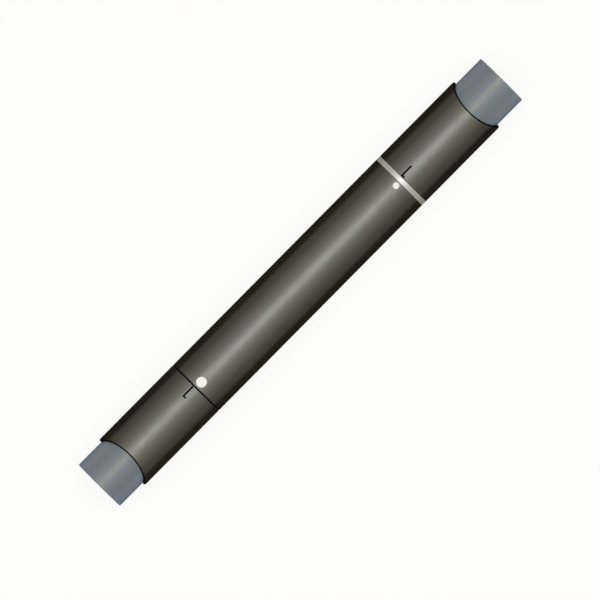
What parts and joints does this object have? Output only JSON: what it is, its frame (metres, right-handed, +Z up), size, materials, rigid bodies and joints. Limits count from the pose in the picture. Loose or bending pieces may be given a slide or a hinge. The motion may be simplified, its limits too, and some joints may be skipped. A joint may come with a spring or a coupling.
{
  "type": "double-ended felt tip marker",
  "caption": "Round double-ended felt tip marker with a chisel nib and a fine nib, each under a keyed pull-off cap with a scooped end and a coloured plug.",
  "frame": {"origin": "on the surface that the marker lies on, under the middle of its length", "axes": "+X along the marker towards its fine end, +Z up through the index marks, +Y across it"},
  "size_m": [0.15, 0.017, 0.017],
  "materials": {
    "dark_plastic": "satin moulded, warm dark grey",
    "ring_plastic": "satin moulded, off-white",
    "plug_plastic": "fine matt moulded, slate grey",
    "holder_plastic": "satin moulded, black",
    "liner_plastic": "natural, slightly waxy",
    "nib_felt": "pressed felt, stained by ink",
    "core_fibre": "bundled fibre soaked in ink",
    "wrap_film": "thin smooth film"
  },
  "bodies": {
    "barrel": {"barrel": "dark_plastic", "ident_ring": "ring_plastic", "ink_core": "core_fibre", "core_wrap": "wrap_film", "broad_nib_holder": "holder_plastic", "fine_nib_holder": "holder_plastic", "broad_nib": "nib_felt", "fine_nib": "nib_felt"},
    "broad_cap": {"broad_cap_shell": "dark_plastic", "broad_cap_liner": "liner_plastic", "broad_end_plug": "plug_plastic"},
    "fine_cap": {"fine_cap_shell": "dark_plastic", "fine_cap_liner": "liner_plastic", "fine_end_plug": "plug_plastic"}
  },
  "joints": [
    {"name": "broad_cap_pull", "type": "slide", "parent": "barrel", "child": "broad_cap", "axis": [-1, 0, 0], "range_m": [0, 0.03]},
    {"name": "fine_cap_pull", "type": "slide", "parent": "barrel", "child": "fine_cap", "axis": [1, 0, 0], "range_m": [0, 0.03]}
  ]
}
